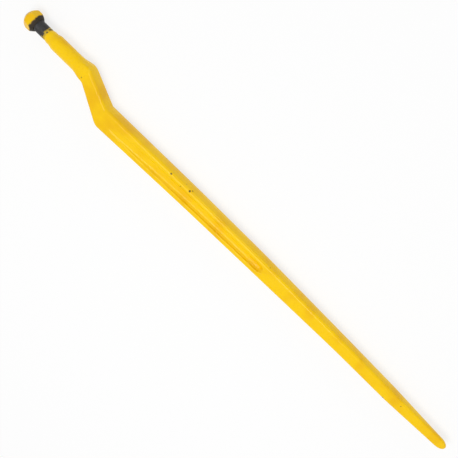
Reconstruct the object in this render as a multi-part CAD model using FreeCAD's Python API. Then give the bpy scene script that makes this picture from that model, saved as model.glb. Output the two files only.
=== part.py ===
import FreeCAD, Part

import math
import os

# Cranked bale spear: one forging with a threaded head, a round shank, a crank and a grooved, tapering blade,
# and the hexagon nut that holds it. Lengths in mm.
# The origin is on the shank axis where the round shank ends. +X runs to the point, and the crank steps to -Y.

# Threaded head, from the thread's end to the crank
THREAD_DIAMETER = 22.0
THREAD_PITCH = 1.5
STUD_LENGTH = 46.5
STUD_CHAMFER = 1.5
RUNOUT_LENGTH = 5.5
COLLAR_DIAMETER = 24.0
COLLAR_LENGTH = 5.5
NECK_LENGTH = 8.0
SHANK_DIAMETER = 28.0
SHANK_LENGTH = 47.0

# Hexagon nut with a conical seat on its inner side
NUT_ACROSS_FLATS = 32.0
NUT_HEIGHT = 21.5
NUT_OVERHANG = 2.0
NUT_OUTER_CIRCLE = 25.0
NUT_OUTER_SLOPE = 47.0
NUT_SEAT_CIRCLE = 26.0
NUT_SEAT_SLOPE = 39.0
NUT_TURN = 40.0
THREAD_CLEARANCE = 0.05

# Crank: the round shank swells to a square, then steps sideways through two bends
SWELL_LENGTH = 23.0
SQUARE_DEPTH = 28.0
BEND_DISTANCE = 28.0
CRANK_RUN = 60.0
CRANK_OFFSET = 37.4
FIRST_OUTER_RADIUS = 25.0
FIRST_INNER_RADIUS = 15.0
SECOND_OUTER_RADIUS = 18.0
SECOND_INNER_RADIUS = 4.0
BEND_SLICES = 6

# Blade: distances from the second bend, depths across the blade, and how far its middle bows back
BLADE_LENGTH = 796.0
BLADE_THICKNESS = 28.0
ROOT_DEPTH = 38.6
QUARTER_DISTANCE = 200.0
QUARTER_DEPTH = 34.5
QUARTER_BOW = 3.3
WEB_DISTANCE = 362.0
WEB_DEPTH = 31.2
WEB_BOW = 3.9
WAIST_DISTANCE = 552.0
WAIST_DEPTH = 23.9
WAIST_BOW = 2.7
SHOULDER_DISTANCE = 669.0
SHOULDER_DEPTH = 21.6
SHOULDER_BOW = 0.2
SHOULDER_THICKNESS = 22.3
TIP_DEPTH = 17.2
TIP_THICKNESS = 9.0
TIP_BOW = -1.2
TIP_ROUND = 16.0
TIP_SLICES = 5
TIP_FACE_SHARE = 0.3
CORNER_RADIUS = 4.5
TIP_CORNER_RADIUS = 3.0
DRAFT_ANGLE = 5.0
RIDGE_RADIUS = 12.0

# Groove in both faces of the blade
GROOVE_DEPTH = 6.0
GROOVE_START = 20.0
GROOVE_RUN_IN = 170.0
GROOVE_END = 374.0
GROOVE_RUN_OUT = 9.0
FLANGE_WIDTH = 8.5
GROOVE_WALL_SLOPE = 70.0
GROOVE_RIM_SLOPE = 8.0
GROOVE_RIM_RADIUS = 3.0
GROOVE_FLOOR_SHARE = 0.61
GROOVE_HEADROOM = 1.0

# Stations that follow from the sizes above, along X
NECK_END = -SHANK_LENGTH
COLLAR_END = NECK_END - NECK_LENGTH
RUNOUT_END = COLLAR_END - COLLAR_LENGTH
STUD_TOP = RUNOUT_END - RUNOUT_LENGTH
STUD_END = STUD_TOP - STUD_LENGTH
BLADE_START = BEND_DISTANCE + CRANK_RUN
TIP_END = BLADE_START + BLADE_LENGTH
TIP_START = TIP_END - TIP_ROUND
SHOULDER = BLADE_START + SHOULDER_DISTANCE

# A 60-degree thread's pitch line lies this share of the pitch inside its crests
PITCH_LINE_SHARE = math.sqrt(3) * 3 / 8
PITCH_DIAMETER = THREAD_DIAMETER - PITCH_LINE_SHARE * THREAD_PITCH
HEXAGON_SIDES = 6


def at(x, point):
    """A point given in a section's own (y, z), at the section's place along X."""
    return FreeCAD.Vector(x, point[0], point[1])


def share_along(x, start, end):
    """How far x lies from start to end, from 0 to 1."""
    return min(max((x - start) / (end - start), 0.0), 1.0)


def thickness_at(x):
    """Even up to the second bend, then a straight taper to the point's shoulder, and a steeper one to the tip."""
    blade = share_along(x, BLADE_START, SHOULDER) * (SHOULDER_THICKNESS - BLADE_THICKNESS)
    point = share_along(x, SHOULDER, TIP_START) * (TIP_THICKNESS - SHOULDER_THICKNESS)
    return BLADE_THICKNESS + blade + point


def corner_radius_at(x):
    return CORNER_RADIUS + share_along(x, SHOULDER, TIP_START) * (TIP_CORNER_RADIUS - CORNER_RADIUS)


def rounded_corner(before, corner, after, radius):
    """Start, middle and end of the arc that rounds a corner of an outline, in the outline's own plane."""
    to_before = math.atan2(before[1] - corner[1], before[0] - corner[0])
    to_after = math.atan2(after[1] - corner[1], after[0] - corner[0])
    half = math.remainder(to_after - to_before, math.tau) / 2
    reach = radius / math.tan(abs(half))
    middle = to_before + half
    centre_distance = radius / math.sin(abs(half))
    arc_distance = centre_distance - radius
    start = (corner[0] + reach * math.cos(to_before), corner[1] + reach * math.sin(to_before))
    top = (corner[0] + arc_distance * math.cos(middle), corner[1] + arc_distance * math.sin(middle))
    end = (corner[0] + reach * math.cos(to_after), corner[1] + reach * math.sin(to_after))
    return start, top, end


def rounded_outline(x, corners, radii):
    """Closed wire across X at x, through the corners in order. A radius of 0 keeps its corner sharp."""
    pieces = []
    for index, (corner, radius) in enumerate(zip(corners, radii)):
        before = corners[index - 1]
        after = corners[(index + 1) % len(corners)]
        if radius > 0:
            pieces.append(rounded_corner(before, corner, after, radius))
        else:
            pieces.append((corner, None, corner))
    edges = []
    for index, (start, middle, end) in enumerate(pieces):
        if middle:
            edges.append(Part.Arc(at(x, start), at(x, middle), at(x, end)).toShape())
        following = pieces[(index + 1) % len(pieces)][0]
        edges.append(Part.LineSegment(at(x, end), at(x, following)).toShape())
    return Part.Wire(edges)


def bar_section(x, low, high):
    """Forged bar section: flat faces up and down, and sides that lean out to a soft ridge at mid height."""
    half = thickness_at(x) / 2
    corner = corner_radius_at(x)
    ridge = half * math.tan(math.radians(DRAFT_ANGLE))
    corners = [
        (high, half),
        (high + ridge, 0.0),
        (high, -half),
        (low, -half),
        (low - ridge, 0.0),
        (low, half),
    ]
    radii = [corner, RIDGE_RADIUS, corner, corner, RIDGE_RADIUS, corner]
    return rounded_outline(x, corners, radii)


def split_circle(x, radius, wire):
    """Circle across X, split at the angles of a wire's corners so that the two can be joined edge to edge."""
    points = [edge.firstVertex(True).Point for edge in wire.Edges]
    angles = [math.atan2(point.z, point.y) for point in points]
    edges = []
    for index, first in enumerate(angles):
        sweep = math.remainder(angles[(index + 1) % len(angles)] - first, math.tau)
        ends = [(radius * math.cos(a), radius * math.sin(a)) for a in (first, first + sweep / 2, first + sweep)]
        edges.append(Part.Arc(at(x, ends[0]), at(x, ends[1]), at(x, ends[2])).toShape())
    return Part.Wire(edges)


class RoundedPath:
    """One edge of the crank in plan: straight runs through corners (x, y), joined by arcs of given radii."""

    def __init__(self, corners, radii):
        self.corners = corners
        self.arcs = []
        for index, radius in enumerate(radii, start=1):
            start, _, end = rounded_corner(corners[index - 1], corners[index], corners[index + 1], radius)
            turns_down = self.slope(index - 1) > self.slope(index)
            run = math.atan(self.slope(index - 1))
            side = -1 if turns_down else 1
            centre = (start[0] - side * radius * math.sin(run), start[1] + side * radius * math.cos(run))
            self.arcs.append((start[0], end[0], centre, radius, side))

    def slope(self, index):
        (x_start, y_start), (x_end, y_end) = self.corners[index : index + 2]
        return (y_end - y_start) / (x_end - x_start)

    def y(self, x):
        for start, end, centre, radius, side in self.arcs:
            if start < x < end:
                return centre[1] - side * math.sqrt(radius**2 - (x - centre[0]) ** 2)
        index = sum(1 for corner in self.corners[1:-1] if corner[0] < x)
        return self.corners[index][1] + self.slope(index) * (x - self.corners[index][0])

    def bend_span(self, index):
        return self.arcs[index][0], self.arcs[index][1]


def blade_stations():
    """The blade's stations as (x, middle, depth), from the second bend to where the tip starts to round."""
    return [
        (BLADE_START, -CRANK_OFFSET, ROOT_DEPTH),
        (BLADE_START + QUARTER_DISTANCE, QUARTER_BOW - CRANK_OFFSET, QUARTER_DEPTH),
        (BLADE_START + WEB_DISTANCE, WEB_BOW - CRANK_OFFSET, WEB_DEPTH),
        (BLADE_START + WAIST_DISTANCE, WAIST_BOW - CRANK_OFFSET, WAIST_DEPTH),
        (SHOULDER, SHOULDER_BOW - CRANK_OFFSET, SHOULDER_DEPTH),
        (TIP_START, TIP_BOW - CRANK_OFFSET, TIP_DEPTH),
    ]


def side_paths():
    """The low and high edges of the forging in plan, from the square to where the tip starts to round."""
    low = [(0.0, -SQUARE_DEPTH / 2), (BEND_DISTANCE, -SQUARE_DEPTH / 2)]
    high = [(0.0, SQUARE_DEPTH / 2), (BEND_DISTANCE, SQUARE_DEPTH / 2)]
    for x, middle, depth in blade_stations():
        low.append((x, middle - depth / 2))
        high.append((x, middle + depth / 2))
    low_path = RoundedPath(low, [FIRST_INNER_RADIUS, SECOND_OUTER_RADIUS])
    high_path = RoundedPath(high, [FIRST_OUTER_RADIUS, SECOND_INNER_RADIUS])
    return low_path, high_path




def even_steps(start, end, count):
    return [start + (end - start) * step / count for step in range(count + 1)]


def bar_places(low_path, high_path):
    """Where the bar is cut across, along X: closely through the two bends, and at each of the blade's stations."""
    bends = [
        (min(low[0], high[0]), max(low[1], high[1]))
        for low, high in zip(
            (low_path.bend_span(0), low_path.bend_span(1)),
            (high_path.bend_span(0), high_path.bend_span(1)),
        )
    ]
    first_bend = even_steps(SWELL_LENGTH, bends[0][1], BEND_SLICES)
    second_bend = even_steps(bends[1][0], bends[1][1], BEND_SLICES)
    return first_bend + second_bend + [station[0] for station in blade_stations()[1:]]


def bar():
    """Crank and blade, from the square to where the tip starts to round."""
    low_path, high_path = side_paths()
    sections = [bar_section(x, low_path.y(x), high_path.y(x)) for x in bar_places(low_path, high_path)]
    return Part.makeLoft(sections, True, True)


def swell():
    """The round shank grows to the square section where the crank begins."""
    low_path, high_path = side_paths()
    square = bar_section(SWELL_LENGTH, low_path.y(SWELL_LENGTH), high_path.y(SWELL_LENGTH))
    return Part.makeLoft([split_circle(0.0, SHANK_DIAMETER / 2, square), square], True, True)


def tip():
    """Blunt rounded end: the last section shrinks along a quarter ellipse to a small flat."""
    centre = TIP_BOW - CRANK_OFFSET
    middle = FreeCAD.Vector(TIP_START, centre, 0.0)
    last = bar_section(TIP_START, centre - TIP_DEPTH / 2, centre + TIP_DEPTH / 2)
    turn_end = math.acos(TIP_FACE_SHARE)
    sections = [last]
    for turn in even_steps(0.0, turn_end, TIP_SLICES)[1:]:
        shrunk = last.copy()
        shrunk.scale(math.cos(turn), middle)
        shrunk.translate(FreeCAD.Vector(TIP_ROUND * math.sin(turn) / math.sin(turn_end), 0.0, 0.0))
        sections.append(shrunk)
    return Part.makeLoft(sections, True, True)


def turned_head():
    """Stud, thread run-out, collar, neck and shank, turned about the shank axis."""
    stud = PITCH_DIAMETER / 2
    profile = [
        (STUD_END, 0.0),
        (STUD_END, stud - STUD_CHAMFER),
        (STUD_END + STUD_CHAMFER, stud),
        (STUD_TOP, stud),
        (RUNOUT_END, COLLAR_DIAMETER / 2),
        (COLLAR_END, COLLAR_DIAMETER / 2),
        (NECK_END, SHANK_DIAMETER / 2),
        (0.0, SHANK_DIAMETER / 2),
        (0.0, 0.0),
    ]
    points = [FreeCAD.Vector(x, y, 0.0) for x, y in profile]
    face = Part.Face(Part.makePolygon(points + points[:1]))
    return face.revolve(FreeCAD.Vector(), FreeCAD.Vector(1, 0, 0), math.degrees(math.tau))


def groove_wall_run():
    """How far a groove wall leans in from rim to floor."""
    return GROOVE_DEPTH / math.tan(math.radians(GROOVE_WALL_SLOPE))


def groove_section(x, low, high, floor, floor_radius):
    """Groove cutter across X: a floor, leaning walls, and rims that flare out over the flat face."""
    wall_run = groove_wall_run()
    flare_run = GROOVE_HEADROOM / math.tan(math.radians(GROOVE_RIM_SLOPE))
    face = floor + GROOVE_DEPTH
    corners = [
        (low - flare_run, face + GROOVE_HEADROOM),
        (low, face),
        (low + wall_run, floor),
        (high - wall_run, floor),
        (high, face),
        (high + flare_run, face + GROOVE_HEADROOM),
    ]
    radii = [0.0, GROOVE_RIM_RADIUS, floor_radius, floor_radius, GROOVE_RIM_RADIUS, 0.0]
    return rounded_outline(x, corners, radii)


def groove_cutter():
    """Cutter for the upper face. It dips in along its run-in, keeps its depth, and climbs out at its end."""
    low_path, high_path = side_paths()

    def rims(x):
        return low_path.y(x) + FLANGE_WIDTH, high_path.y(x) - FLANGE_WIDTH

    start = BLADE_START + GROOVE_START
    end = BLADE_START + GROOVE_END
    clear = GROOVE_DEPTH + GROOVE_HEADROOM
    places = [(start, GROOVE_DEPTH), (start + GROOVE_RUN_IN, 0.0), (end - GROOVE_RUN_OUT, 0.0), (end, clear)]
    narrowest = min(rims(x)[1] - rims(x)[0] for x, _ in places) - 2 * groove_wall_run()
    sections = []
    for x, lift in places:
        low, high = rims(x)
        floor = thickness_at(x) / 2 - GROOVE_DEPTH + lift
        sections.append(groove_section(x, low, high, floor, GROOVE_FLOOR_SHARE * narrowest))
    return Part.makeLoft(sections, True, True)


def make_spear():
    body = turned_head().fuse([swell(), bar(), tip()])
    upper = groove_cutter()
    lower = upper.mirror(FreeCAD.Vector(), FreeCAD.Vector(0, 0, 1))
    return body.cut([upper, lower]).removeSplitter()


def chamfer_cone(x, circle, slope, inward):
    """Solid of revolution that opens inward from a circle at x, and cuts the hexagon's corners back."""
    reach = NUT_HEIGHT
    far = circle / 2 + reach * math.tan(math.radians(slope))
    return Part.makeCone(circle / 2, far, reach, FreeCAD.Vector(x, 0, 0), FreeCAD.Vector(inward, 0, 0))


def make_hex_nut():
    outer_face = STUD_END + NUT_OVERHANG
    seat_face = outer_face + NUT_HEIGHT
    radius = NUT_ACROSS_FLATS / 2 / math.cos(math.pi / HEXAGON_SIDES)
    points = []
    for side in range(HEXAGON_SIDES + 1):
        angle = math.radians(NUT_TURN) + math.tau * side / HEXAGON_SIDES
        points.append(at(outer_face, (radius * math.cos(angle), radius * math.sin(angle))))
    prism = Part.Face(Part.makePolygon(points)).extrude(FreeCAD.Vector(NUT_HEIGHT, 0, 0))
    prism = prism.common(chamfer_cone(outer_face, NUT_OUTER_CIRCLE, NUT_OUTER_SLOPE, 1))
    prism = prism.common(chamfer_cone(seat_face, NUT_SEAT_CIRCLE, NUT_SEAT_SLOPE, -1))
    bore_radius = PITCH_DIAMETER / 2 + THREAD_CLEARANCE
    bore = Part.makeCylinder(bore_radius, NUT_HEIGHT, FreeCAD.Vector(outer_face, 0, 0), FreeCAD.Vector(1, 0, 0))
    return prism.cut(bore)


def only_solid(shape):
    """The one solid of a finished piece."""
    (solid,) = shape.Solids
    return solid


def main():
    os.makedirs("parts", exist_ok=True)
    pieces = {"spear": make_spear(), "hex_nut": make_hex_nut()}
    for name, shape in pieces.items():
        solid = only_solid(shape)
        solid.exportStep(f"parts/{name}.step")
        box = solid.BoundBox
        print(name, "valid", solid.isValid(), "volume", round(solid.Volume), "box", box)


main()
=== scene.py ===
import math
from functools import lru_cache

import bmesh
import bpy
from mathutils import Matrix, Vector


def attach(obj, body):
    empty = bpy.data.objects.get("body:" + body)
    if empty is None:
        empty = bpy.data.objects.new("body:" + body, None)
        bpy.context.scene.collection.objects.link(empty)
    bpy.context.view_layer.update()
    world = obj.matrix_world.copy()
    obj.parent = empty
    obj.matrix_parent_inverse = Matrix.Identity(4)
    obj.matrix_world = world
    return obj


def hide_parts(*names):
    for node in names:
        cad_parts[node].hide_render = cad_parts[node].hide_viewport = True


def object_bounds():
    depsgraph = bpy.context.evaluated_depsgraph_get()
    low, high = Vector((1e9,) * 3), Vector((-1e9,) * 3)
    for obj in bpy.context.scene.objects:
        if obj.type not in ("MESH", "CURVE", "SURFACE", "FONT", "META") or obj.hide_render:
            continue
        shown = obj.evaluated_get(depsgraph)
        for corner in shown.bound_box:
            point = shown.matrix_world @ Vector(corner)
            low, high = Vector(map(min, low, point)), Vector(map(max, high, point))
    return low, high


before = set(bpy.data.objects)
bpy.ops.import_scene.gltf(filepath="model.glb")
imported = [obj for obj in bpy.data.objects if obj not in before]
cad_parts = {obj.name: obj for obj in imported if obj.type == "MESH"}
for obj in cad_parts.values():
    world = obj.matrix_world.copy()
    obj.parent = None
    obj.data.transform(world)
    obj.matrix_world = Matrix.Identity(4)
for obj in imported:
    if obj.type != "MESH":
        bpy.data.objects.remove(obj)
cad_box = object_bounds()
scene = bpy.context.scene


# Painted forging
# One steel forging from the thread's run-out to the point: collar, round shank, a crank through two bends,
# and a tapering blade grooved in both faces. A straight billet is drawn out, cranked, and its faces pressed.
# Sizes are in mm, and the finished mesh is scaled to metres.
MM = 0.001
BILLET_HALF_DEPTH = 19.3
BILLET_HALF_THICKNESS = 14.0
BILLET_CORNER = 4.5
SHANK_RADIUS = 14.0
CRANK_SLOPE = -0.535
SIDE_DRAFT = math.radians(5)
PARTING_SOFTNESS = 1.1
FLANGE_WIDTH = 8.5
GROOVE_DEPTH = 6.0
GROOVE_CLEARANCE = 7.0
GROOVE_FILLET = 6.0
GROOVE_FILLET_START = 0.74
GROOVE_FILLET_END = 6.38
GROOVE_WALL_FOOT = 2.18
GROOVE_WALL_SLOPE = 2.747
GROOVE_RIM_SOFTNESS = 2.5
GROOVE_FULL_DEPTH_FROM = 278
GROOVE_RUN_IN = 170
GROOVE_RUN_OUT_FROM = 453
GROOVE_RUN_OUT = 9
POINT_START = 868.0
POINT_END = 884.0
POINT_NARROWING = 0.954

# Along X: the blade's middle, its depth, the bar's thickness and its corner radius
BLADE_MIDDLE = ((88, -37.4), (288, -34.1), (450, -33.5), (640, -34.7), (757, -37.2), (868, -38.6))
BLADE_DEPTH = ((88, 38.6), (288, 34.5), (450, 31.2), (640, 23.9), (757, 21.6), (868, 17.2))
THICKNESS = ((88, 28.0), (757, 22.3), (868, 9.0))
CORNER = ((757, 4.5), (868, 3.0))
TURNED_RADIUS = ((-66, 10.4), (-60.5, 12.0), (-55, 12.0), (-47, 14.0), (0, 14.0))


def along(x, stations):
    """Value at x between stations (x, value), and the end values past them."""
    if x <= stations[0][0]:
        return stations[0][1]
    for (start, before), (end, after) in zip(stations, stations[1:]):
        if x <= end:
            return before + (after - before) * (x - start) / (end - start)
    return stations[-1][1]


def softly_along(x, stations, reach=30.0):
    """As along, with each change of slope spread over twice the reach."""
    return sum(along(x + reach * step / 3, stations) for step in range(-3, 4)) / 7


def ease(x, start, end):
    """From 0 at start to 1 at end, flat at both."""
    share = min(max((x - start) / (end - start), 0.0), 1.0)
    return share * share * (3 - 2 * share)


def rounded_turn(x, corner, slope_before, slope_after, radius):
    """Edge of the bar in plan: two straight runs through a corner (x, y), joined by an arc."""
    before, after = math.atan(slope_before), math.atan(slope_after)
    reach = radius * math.tan(abs(after - before) / 2)
    start, end = corner[0] - reach * math.cos(before), corner[0] + reach * math.cos(after)
    if x <= start:
        return corner[1] + slope_before * (x - corner[0])
    if x >= end:
        return corner[1] + slope_after * (x - corner[0])
    side = 1 if after > before else -1
    centre_x = start - side * radius * math.sin(before)
    centre_y = corner[1] + slope_before * (start - corner[0]) + side * radius * math.cos(before)
    return centre_y - side * math.sqrt(radius**2 - (x - centre_x) ** 2)


@lru_cache(maxsize=None)
def section_at(x):
    """Sizes of the bar's cross-section at x: edges in plan, half thickness, corner, groove lift and so on."""
    if x < 50:
        low = rounded_turn(x, (28.0, -14.0), 0.0, -0.7117, 15.0)
        high = rounded_turn(x, (28.0, 14.0), 0.0, -0.535, 25.0)
    else:
        blade_middle = softly_along(x, BLADE_MIDDLE, 24.0 * ease(x, 100, 200))
        half_depth = softly_along(x, BLADE_DEPTH, 24.0 * ease(x, 100, 200)) / 2
        low, high = blade_middle - half_depth, blade_middle + half_depth
        if x < 120:
            low = rounded_turn(x, (88.0, -56.7), -0.7117, 0.0268, 18.0)
            high = rounded_turn(x, (88.0, -18.1), -0.535, 0.00625, 4.0)
    lift = GROOVE_DEPTH * min(max((GROOVE_FULL_DEPTH_FROM - x) / GROOVE_RUN_IN, 0.0), 1.0)
    lift += GROOVE_CLEARANCE * min(max((x - GROOVE_RUN_OUT_FROM) / GROOVE_RUN_OUT, 0.0), 1.0)
    to_point = min(max((x - POINT_START) / (POINT_END - POINT_START), 0.0), 1.0)
    return {
        "low": low,
        "high": high,
        "half": along(x, THICKNESS) / 2,
        "corner": along(x, CORNER),
        "round": 1 - ease(x, 0, 24),
        "radius": along(x, TURNED_RADIUS),
        "lift": lift,
        "shrink": math.sqrt(1 - (POINT_NARROWING * to_point) ** 2),
    }


def stretch(value, half, corner, low, high, new_corner):
    """Moves a billet coordinate out to the drawn bar's sides. The rounded corners scale by themselves."""
    inset = (half - abs(value)) * new_corner / corner
    if inset <= new_corner:
        return high - inset if value > 0 else low + inset
    share = (value + half - corner) / (2 * (half - corner))
    return low + new_corner + share * (high - low - 2 * new_corner)


def groove_depth(y, section):
    """How deep the die has pressed at y: a floor, fillets, walls leaning 20 degrees, and soft rims."""
    from_rim = min(y - section["low"], section["high"] - y) - FLANGE_WIDTH
    if from_rim > GROOVE_FILLET_END:
        above_floor = 0.0
    elif from_rim > GROOVE_FILLET_START:
        above_floor = GROOVE_FILLET - math.sqrt(GROOVE_FILLET**2 - (GROOVE_FILLET_END - from_rim) ** 2)
    else:
        above_floor = (GROOVE_WALL_FOOT - from_rim) * GROOVE_WALL_SLOPE
    depth = GROOVE_DEPTH - above_floor - section["lift"]
    soft = max(GROOVE_RIM_SOFTNESS * (GROOVE_DEPTH - section["lift"]) / GROOVE_DEPTH, 0.02)
    if abs(depth) < soft:
        return (depth + soft) ** 2 / (4 * soft)
    return max(depth, 0.0)


def forged(point):
    """Where a point of the straight billet ends up on the finished forging."""
    x, y, z = point
    section = section_at(round(x, 2))
    half = section["half"]
    bar_y = stretch(y, BILLET_HALF_DEPTH, BILLET_CORNER, section["low"], section["high"], section["corner"])
    bar_z = stretch(z, BILLET_HALF_THICKNESS, BILLET_CORNER, -half, half, section["corner"])
    ridge = math.tan(SIDE_DRAFT) * max(half - math.sqrt(bar_z**2 + PARTING_SOFTNESS), 0.0)
    edge_share = ease(abs(y), BILLET_HALF_DEPTH - BILLET_CORNER, BILLET_HALF_DEPTH)
    bar_y += math.copysign(ridge * edge_share, y)
    if abs(z) == BILLET_HALF_THICKNESS and abs(y) < BILLET_HALF_DEPTH - BILLET_CORNER:
        bar_z -= math.copysign(groove_depth(bar_y, section), z)
    turned = Vector((y / BILLET_HALF_DEPTH, z / BILLET_HALF_THICKNESS)).normalized() * section["radius"]
    middle = (section["low"] + section["high"]) / 2
    bar = Vector((middle + (bar_y - middle) * section["shrink"], bar_z * section["shrink"]))
    placed = bar.lerp(turned, section["round"])
    return x, placed.x, placed.y


def piece_from(bm, name, material, *nodes):
    """Finishes a mesh made in mm as a smooth piece that rides on the part and stands for the given nodes."""
    bmesh.ops.scale(bm, verts=bm.verts, vec=(MM, MM, MM))
    bmesh.ops.recalc_face_normals(bm, faces=bm.faces)
    for face in bm.faces:
        face.smooth = True
    mesh = bpy.data.meshes.new(name)
    bm.to_mesh(mesh)
    bm.free()
    mesh.materials.append(material)
    piece = bpy.data.objects.new(name, mesh)
    scene.collection.objects.link(piece)
    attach(piece, "root")
    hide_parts(*nodes)
    return piece


def bar_ring(bm):
    """Outline of the billet across X: a rectangle with rounded corners, its flats cut finely for pressing."""
    half_y, half_z = BILLET_HALF_DEPTH, BILLET_HALF_THICKNESS
    places = ((half_y, half_z), (-half_y, half_z), (-half_y, -half_z), (half_y, -half_z))
    corners = [bm.verts.new((0, y, z)) for y, z in places]
    for index, corner in enumerate(corners):
        bm.edges.new((corners[index - 1], corner))
    bmesh.ops.bevel(
        bm,
        geom=corners,
        offset=BILLET_CORNER,
        affect="VERTICES",
        segments=6,
        profile=0.5,
        material=-1,
    )
    flats = [edge for edge in bm.edges if abs(edge.verts[0].co.y - edge.verts[1].co.y) > 2 * BILLET_CORNER]
    sides = [edge for edge in bm.edges if abs(edge.verts[0].co.z - edge.verts[1].co.z) > 2 * BILLET_CORNER]
    bmesh.ops.subdivide_edges(bm, edges=flats, cuts=47)
    bmesh.ops.subdivide_edges(bm, edges=sides, cuts=11)
    return list(bm.edges)


def draw_out(bm, ring, start, runs):
    """Pulls a ring of edges along X from start through runs (end, step), cuts each, and closes both ends."""
    bmesh.ops.translate(bm, verts=list({vertex for edge in ring for vertex in edge.verts}), vec=(start, 0, 0))
    bmesh.ops.contextual_create(bm, geom=ring)
    for end, step in runs:
        drawn = bmesh.ops.extrude_edge_only(bm, edges=ring)["geom"]
        moved = {item for item in drawn if isinstance(item, bmesh.types.BMVert)}
        bmesh.ops.translate(bm, verts=list(moved), vec=(end - start, 0, 0))
        touching = [edge for vertex in moved for edge in vertex.link_edges]
        lengthwise = [edge for edge in touching if not moved.issuperset(edge.verts)]
        edges = [item for item in drawn if isinstance(item, bmesh.types.BMEdge)]
        ring = [edge for edge in edges if moved.issuperset(edge.verts)]
        bmesh.ops.subdivide_edges(bm, edges=lengthwise, cuts=round((end - start) / step) - 1)
        start = end
    bmesh.ops.contextual_create(bm, geom=ring)


# Finish of the forging: thick yellow enamel, brushed or dipped over forge scale. It has a soft orange peel,
# deeper and lighter patches, and chips down to dark steel along the edges.
def new_group(name, inputs, outputs):
    """Empty node group with named inputs (name, kind, value) and outputs (name, kind)."""
    group = bpy.data.node_groups.new(name, "ShaderNodeTree")
    for label, kind, value in inputs:
        socket = group.interface.new_socket(label, in_out="INPUT", socket_type=kind)
        if value is not None:
            socket.default_value = value
    for label, kind in outputs:
        group.interface.new_socket(label, in_out="OUTPUT", socket_type=kind)
    return group, group.nodes.new("NodeGroupInput").outputs, group.nodes.new("NodeGroupOutput").inputs


def put(tree, kind, inputs, **settings):
    """New node with its settings made, and its inputs linked or set by name or number."""
    node = tree.nodes.new(kind)
    for name, value in settings.items():
        setattr(node, name, value)
    for key, value in inputs.items():
        if isinstance(value, bpy.types.NodeSocket):
            tree.links.new(value, node.inputs[key])
        else:
            node.inputs[key].default_value = value
    return node.outputs


def noise(tree, point, scale, detail=2.0, roughness=0.5):
    inputs = {"Vector": point, "Scale": scale, "Detail": detail, "Roughness": roughness}
    return put(tree, "ShaderNodeTexNoise", inputs)[0]


def ramp(tree, value, start, end, low=0.0, high=1.0):
    """Smooth step of a value from low at start to high at end."""
    inputs = {"Value": value, "From Min": start, "From Max": end, "To Min": low, "To Max": high}
    return put(tree, "ShaderNodeMapRange", inputs, interpolation_type="SMOOTHSTEP")["Result"]


def calculate(tree, operation, *values):
    return put(tree, "ShaderNodeMath", dict(enumerate(values)), operation=operation)[0]


def blend_colour(tree, share, first, second):
    return put(tree, "ShaderNodeMix", {0: share, 6: first, 7: second}, data_type="RGBA")[2]


enamel_coat, given, made = new_group(
    "enamel_coat",
    [
        ("Point", "NodeSocketVector", None),
        ("Colour", "NodeSocketColor", (0.96, 0.61, 0.0, 1)),
        ("Deep Colour", "NodeSocketColor", (0.88, 0.5, 0.0, 1)),
    ],
    [("Colour", "NodeSocketColor"), ("Roughness", "NodeSocketFloat"), ("Height", "NodeSocketFloat")],
)
patches = ramp(enamel_coat, noise(enamel_coat, given["Point"], 24, 4), 0.42, 0.72)
flecks = ramp(enamel_coat, noise(enamel_coat, given["Point"], 300, 3), 0.5, 0.8)
deeper = calculate(enamel_coat, "MAXIMUM", patches, calculate(enamel_coat, "MULTIPLY", flecks, 0.6))
coloured = blend_colour(enamel_coat, deeper, given["Colour"], given["Deep Colour"])
enamel_coat.links.new(coloured, made["Colour"])
gloss = ramp(enamel_coat, noise(enamel_coat, given["Point"], 60, 3), 0.3, 0.7, 0.14, 0.24)
enamel_coat.links.new(gloss, made["Roughness"])
peel = calculate(enamel_coat, "MULTIPLY", noise(enamel_coat, given["Point"], 380, 1), 0.000014)
scale_under = calculate(enamel_coat, "MULTIPLY", noise(enamel_coat, given["Point"], 75, 3), 0.00009)
enamel_coat.links.new(calculate(enamel_coat, "ADD", peel, scale_under), made["Height"])

paint_chip, given, made = new_group(
    "paint_chip",
    [
        ("Point", "NodeSocketVector", None),
        ("Place", "NodeSocketVector", (0, 0, 0)),
        ("Size", "NodeSocketFloat", 0.001),
        ("Depth", "NodeSocketFloat", 1.0),
        ("Others", "NodeSocketFloat", 0.0),
    ],
    [("Mask", "NodeSocketFloat")],
)
ends = {0: given["Point"], 1: given["Place"]}
away = put(paint_chip, "ShaderNodeVectorMath", ends, operation="DISTANCE")["Value"]
ragged = calculate(paint_chip, "MULTIPLY_ADD", noise(paint_chip, given["Point"], 900, 2), 1.6, 0.2)
reach = calculate(paint_chip, "MULTIPLY", given["Size"], ragged)
inside = calculate(paint_chip, "DIVIDE", away, reach)
chip = calculate(paint_chip, "MULTIPLY", ramp(paint_chip, inside, 1.0, 0.7), given["Depth"])
paint_chip.links.new(calculate(paint_chip, "MAXIMUM", chip, given["Others"]), made["Mask"])


def chipped(tree, point, chips):
    """Mask of the listed chips: place in mm, size in mm, and how far the paint is gone."""
    mask = 0.0
    for place, size, depth in chips:
        node = tree.nodes.new("ShaderNodeGroup")
        node.node_tree = paint_chip
        tree.links.new(point, node.inputs["Point"])
        node.inputs["Place"].default_value = Vector(place) * MM
        node.inputs["Size"].default_value = size * MM
        node.inputs["Depth"].default_value = depth
        if mask:
            tree.links.new(mask, node.inputs["Others"])
        mask = node.outputs["Mask"]
    return mask


def new_material(name):
    """Material with its tree, its principled shader and the point on the piece."""
    material = bpy.data.materials.new(name)
    material.use_nodes = True
    tree = material.node_tree
    point = tree.nodes.new("ShaderNodeTexCoord").outputs["Object"]
    return material, tree, tree.nodes["Principled BSDF"], point


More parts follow.
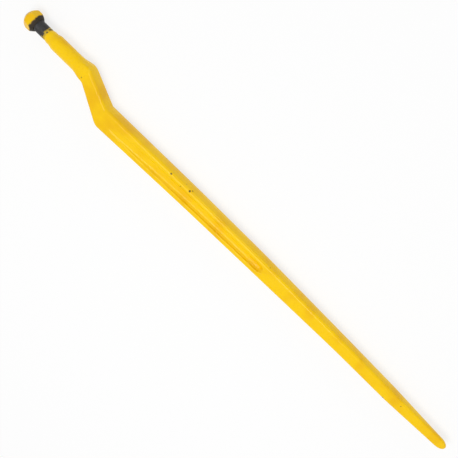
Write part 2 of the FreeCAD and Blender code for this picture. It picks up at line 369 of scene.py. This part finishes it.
def enamel_over_steel(tree, shader, point, bare):
    """Yellow enamel where bare is 0, dark steel where it is 1. The paint's edge stands up a little."""
    coat = tree.nodes.new("ShaderNodeGroup")
    coat.node_tree = enamel_coat
    tree.links.new(point, coat.inputs["Point"])
    steel = blend_colour(tree, noise(tree, point, 500, 3), (0.012, 0.009, 0.006, 1), (0.06, 0.045, 0.03, 1))
    tree.links.new(blend_colour(tree, bare, coat.outputs["Colour"], steel), shader.inputs["Base Color"])
    rough = put(tree, "ShaderNodeMix", {0: bare, 2: coat.outputs["Roughness"], 3: 0.55})[0]
    tree.links.new(rough, shader.inputs["Roughness"])
    height = calculate(tree, "MULTIPLY_ADD", bare, -0.00018, coat.outputs["Height"])
    bump = put(tree, "ShaderNodeBump", {"Height": height, "Distance": 1.0, "Strength": 1.0})["Normal"]
    tree.links.new(bump, shader.inputs["Normal"])
    shader.inputs["Specular IOR Level"].default_value = 0.2


spear_enamel, tree, shader, point = new_material("spear_enamel")
# Each chip: along X, in from the outer edge, down from the top face, its size, and how far the paint is gone
SPEAR_CHIPS = (
    (25, 20, 0, 1.5, 0.5),
    (215, 0, 23, 1.5, 0.6),
    (240, 2, 0, 2.0, 0.9),
    (265, 7, 0, 1.2, 0.5),
    (270, 0, 6, 1.5, 0.25),
    (280, 0, 8, 1.0, 0.5),
    (282, 2, 1, 2.0, 0.95),
    (285, 0, 4, 1.5, 0.8),
    (465, 0, 3, 1.5, 0.35),
    (750, 20, 1, 2.0, 0.8),
    (780, 7, 0, 1.2, 0.6),
)


def chip_on_edge(x, inward, down, size, depth):
    """Chip placed from the bar's outer edge and top face at x."""
    section = section_at(x)
    return (x, section["high"] - inward, section["half"] - down), size, depth


chips = chipped(tree, point, [chip_on_edge(*chip) for chip in SPEAR_CHIPS])
enamel_over_steel(tree, shader, point, chips)

bm = bmesh.new()
FINE_RUNS = ((-45, 0.75), (0, 3), (130, 1), (444, 4), (470, 1), (868, 4), (884, 1))
draw_out(bm, bar_ring(bm), -66, FINE_RUNS)
for vertex in bm.verts:
    vertex.co = forged(vertex.co)
forging = piece_from(bm, "spear_forging", spear_enamel, "spear")


# Threaded stud
# The forging's own end, turned down and cut with a fine thread. It is bare, oily dark steel between the nut
# and the run-out, where the last threads have caught some of the paint.
STUD_END = -112.5
STUD_TOP = -62.0
PITCH = 1.5
CREST_RADIUS = 11.0
ROOT_RADIUS = 10.16
STEPS_PER_TURN = 36

turns = math.ceil((STUD_TOP - STUD_END) / PITCH) + 2
bm = bmesh.new()
outline = (
    (0.0, ROOT_RADIUS),
    (0.3, ROOT_RADIUS),
    (0.69, CREST_RADIUS),
    (0.81, CREST_RADIUS),
    (1.2, ROOT_RADIUS),
    (1.5, ROOT_RADIUS),
)
chain = [bm.verts.new((STUD_END - PITCH + x, radius, 0)) for x, radius in outline]
edges = [bm.edges.new(pair) for pair in zip(chain, chain[1:])]
bmesh.ops.spin(
    bm,
    geom=chain + edges,
    cent=(0, 0, 0),
    axis=(1, 0, 0),
    dvec=(PITCH / STEPS_PER_TURN, 0, 0),
    angle=math.tau * turns,
    steps=STEPS_PER_TURN * turns,
    use_merge=False,
)
bmesh.ops.remove_doubles(bm, verts=bm.verts, dist=0.001)
for end, outward in ((STUD_END, -1), (STUD_TOP, 1)):
    geometry = list(bm.verts) + list(bm.edges) + list(bm.faces)
    cut = {"plane_co": (end, 0, 0), "plane_no": (outward, 0, 0)}
    bmesh.ops.bisect_plane(bm, geom=geometry, clear_outer=True, **cut)
    open_edges = [edge for edge in bm.edges if edge.is_boundary]
    rim = [edge for edge in open_edges if all(abs(v.co.x - end) < 0.001 for v in edge.verts)]
    bmesh.ops.contextual_create(bm, geom=rim)
for vertex in bm.verts:
    radius = math.hypot(vertex.co.y, vertex.co.z)
    allowed = 9.0 + (vertex.co.x - STUD_END)
    if radius > allowed:
        vertex.co.yz = (vertex.co.y * allowed / radius, vertex.co.z * allowed / radius)

stud_steel, tree, shader, point = new_material("stud_steel")
place_x = put(tree, "ShaderNodeSeparateXYZ", {0: point})["X"]
wander = calculate(tree, "MULTIPLY_ADD", noise(tree, point, 160, 3), 0.012, -0.006)
painted = ramp(tree, calculate(tree, "ADD", place_x, wander), -0.0735, -0.0705)
streaks = ramp(tree, noise(tree, point, 240, 3), 0.4, 0.55)
painted = calculate(tree, "MULTIPLY", painted, streaks)
bare = calculate(tree, "SUBTRACT", 1.0, painted)
grime = blend_colour(tree, noise(tree, point, 130, 3), (0.018, 0.014, 0.014, 1), (0.055, 0.058, 0.06, 1))
tree.links.new(blend_colour(tree, painted, grime, (0.62, 0.42, 0.01, 1)), shader.inputs["Base Color"])
tree.links.new(put(tree, "ShaderNodeMix", {0: painted, 2: 0.42, 3: 0.35})[0], shader.inputs["Roughness"])
tree.links.new(calculate(tree, "MULTIPLY", bare, 0.35), shader.inputs["Metallic"])
stud = piece_from(bm, "spear_stud", stud_steel, "spear")


# Hexagon nut
# A tall forged nut, turned to a cone at both ends and painted with the spear. The end that bears on the
# frame, its cone and a wandering band next to it, is coloured dark steel, and thick paint has rounded all its
# edges.
NUT_OUTER = -110.5
NUT_SEAT = -89.0
NUT_APOTHEM = 16.0
NUT_TURN = math.radians(40 + 30)
BORE_RADIUS = 11.1
BLANK_RADIUS = 19.5
OUTER_FACE_RADIUS = 12.5
OUTER_CONE = math.radians(47)
SEAT_RADIUS = 13.0
SEAT_CONE = math.radians(39)
EDGE_SOFTNESS = 0.5
CORNER_SOFTNESS = 0.05


def soft_least(first, second, soft):
    """The lesser of two sizes, rounded where they cross."""
    return (first + second) / 2 - math.sqrt(((first - second) / 2) ** 2 + soft**2)


bm = bmesh.new()
blank = (
    (NUT_OUTER, BORE_RADIUS),
    (NUT_OUTER, BLANK_RADIUS),
    (NUT_SEAT, BLANK_RADIUS),
    (NUT_SEAT, BORE_RADIUS),
)
profile = [bm.verts.new((x, radius, 0)) for x, radius in blank]
chain = [bm.edges.new((profile[index - 1], vertex)) for index, vertex in enumerate(profile)]
bmesh.ops.subdivide_edges(bm, edges=[chain[1], chain[3]], cuts=15)
bmesh.ops.subdivide_edges(bm, edges=[chain[2]], cuts=43)
bmesh.ops.spin(
    bm,
    geom=list(bm.verts) + list(bm.edges),
    cent=(0, 0, 0),
    axis=(1, 0, 0),
    angle=math.tau,
    steps=240,
    use_merge=True,
)
for vertex in bm.verts:
    radius = math.hypot(vertex.co.y, vertex.co.z)
    if radius > BORE_RADIUS + 0.01:
        angle = math.atan2(vertex.co.z, vertex.co.y) - NUT_TURN
        sixth = math.remainder(angle, math.tau / 6)
        flat = NUT_APOTHEM / math.cos(sixth)
        outer_cone = OUTER_FACE_RADIUS + math.tan(OUTER_CONE) * (vertex.co.x - NUT_OUTER)
        seat_cone = SEAT_RADIUS + math.tan(SEAT_CONE) * (NUT_SEAT - vertex.co.x)
        outer_part = soft_least(flat, outer_cone, EDGE_SOFTNESS)
        seat_part = soft_least(flat, seat_cone, EDGE_SOFTNESS)
        allowed = soft_least(outer_part, seat_part, CORNER_SOFTNESS)
        if radius > allowed:
            vertex.co.yz = (vertex.co.y * allowed / radius, vertex.co.z * allowed / radius)

nut_enamel, tree, shader, point = new_material("nut_enamel")
place_x = put(tree, "ShaderNodeSeparateXYZ", {0: point})["X"]
# The seat end is coloured dark steel: the colour fades in from x = -96.5 to -93.5 mm, its edge wandering by
# up to 3 mm
wander = calculate(tree, "MULTIPLY_ADD", noise(tree, point, 150, 3), 0.006, -0.003)
dark_seat_end = ramp(tree, calculate(tree, "ADD", place_x, wander), -0.0965, -0.0935)
chips = chipped(tree, point, (((-103.5, -3.0, 15.5), 1.3, 0.8),))
enamel_over_steel(tree, shader, point, calculate(tree, "MAXIMUM", dark_seat_end, chips))
nut = piece_from(bm, "spear_nut", nut_enamel, "hex_nut")


# Studio
# A pale floor under the spear, two soft lamps and the camera.
floor_level = cad_box[0][2]
bm = bmesh.new()
bmesh.ops.create_grid(bm, x_segments=1, y_segments=1, size=20)
bmesh.ops.translate(bm, verts=bm.verts, vec=(0, 0, floor_level))
mesh = bpy.data.meshes.new("floor")
bm.to_mesh(mesh)
bm.free()
floor = bpy.data.objects.new("floor", mesh)
scene.collection.objects.link(floor)

floor_paper = bpy.data.materials.new("floor_paper")
floor_paper.use_nodes = True
tree = floor_paper.node_tree
shader = tree.nodes["Principled BSDF"]
shader.inputs["Base Color"].default_value = (0.95, 0.95, 0.95, 1)
shader.inputs["Roughness"].default_value = 1.0
shader.inputs["Specular IOR Level"].default_value = 0.0
light_path = tree.nodes.new("ShaderNodeLightPath").outputs
seen = calculate(tree, "MAXIMUM", light_path["Is Camera Ray"], light_path["Is Glossy Ray"])
seen = calculate(tree, "MAXIMUM", seen, light_path["Is Transmission Ray"])
white = put(tree, "ShaderNodeEmission", {"Strength": 1.0})[0]
share = calculate(tree, "MULTIPLY", seen, 0.75)
mixed = put(tree, "ShaderNodeMixShader", {0: share, 1: shader.outputs[0], 2: white})[0]
tree.links.new(mixed, tree.nodes["Material Output"].inputs["Surface"])
mesh.materials.append(floor_paper)

world = bpy.data.worlds.new("studio")
world.use_nodes = True
scene.world = world
tree = world.node_tree
background = tree.nodes["Background"]
light_path = tree.nodes.new("ShaderNodeLightPath").outputs
seen = calculate(tree, "MAXIMUM", light_path["Is Camera Ray"], light_path["Is Glossy Ray"])
seen = calculate(tree, "MAXIMUM", seen, light_path["Is Transmission Ray"])
background.inputs["Color"].default_value = (1, 1, 1, 1)
tree.links.new(calculate(tree, "MAXIMUM", seen, 0.53), background.inputs["Strength"])


def soft_lamp(name, place, target, width, height, power):
    """Rectangular soft lamp at a place in metres, turned to face a target."""
    lamp = bpy.data.lights.new(name, "AREA")
    lamp.shape = "RECTANGLE"
    lamp.size = width
    lamp.size_y = height
    lamp.energy = power
    lamp_object = bpy.data.objects.new(name, lamp)
    lamp_object.location = place
    lamp_object.rotation_euler = (Vector(target) - Vector(place)).to_track_quat("-Z", "Y").to_euler()
    scene.collection.objects.link(lamp_object)


soft_lamp("overhead", (0.4, -0.33, 2.4), (0.4, 0, 0), 1.6, 1.2, 31)
soft_lamp("side_panel", (0.38, 2.2, 0.7), (0.38, 0, 0), 0.7, 0.5, 3.5)

camera_data = bpy.data.cameras.new("camera")
camera_data.lens = 52.52
camera = bpy.data.objects.new("camera", camera_data)
camera.location = (0.38377, 0.54585, 0.9559)
camera.rotation_euler = [math.radians(angle) for angle in (-22.8286, 21.3789, 39.6649)]
scene.collection.objects.link(camera)
scene.camera = camera
scene.view_settings.view_transform = "Standard"
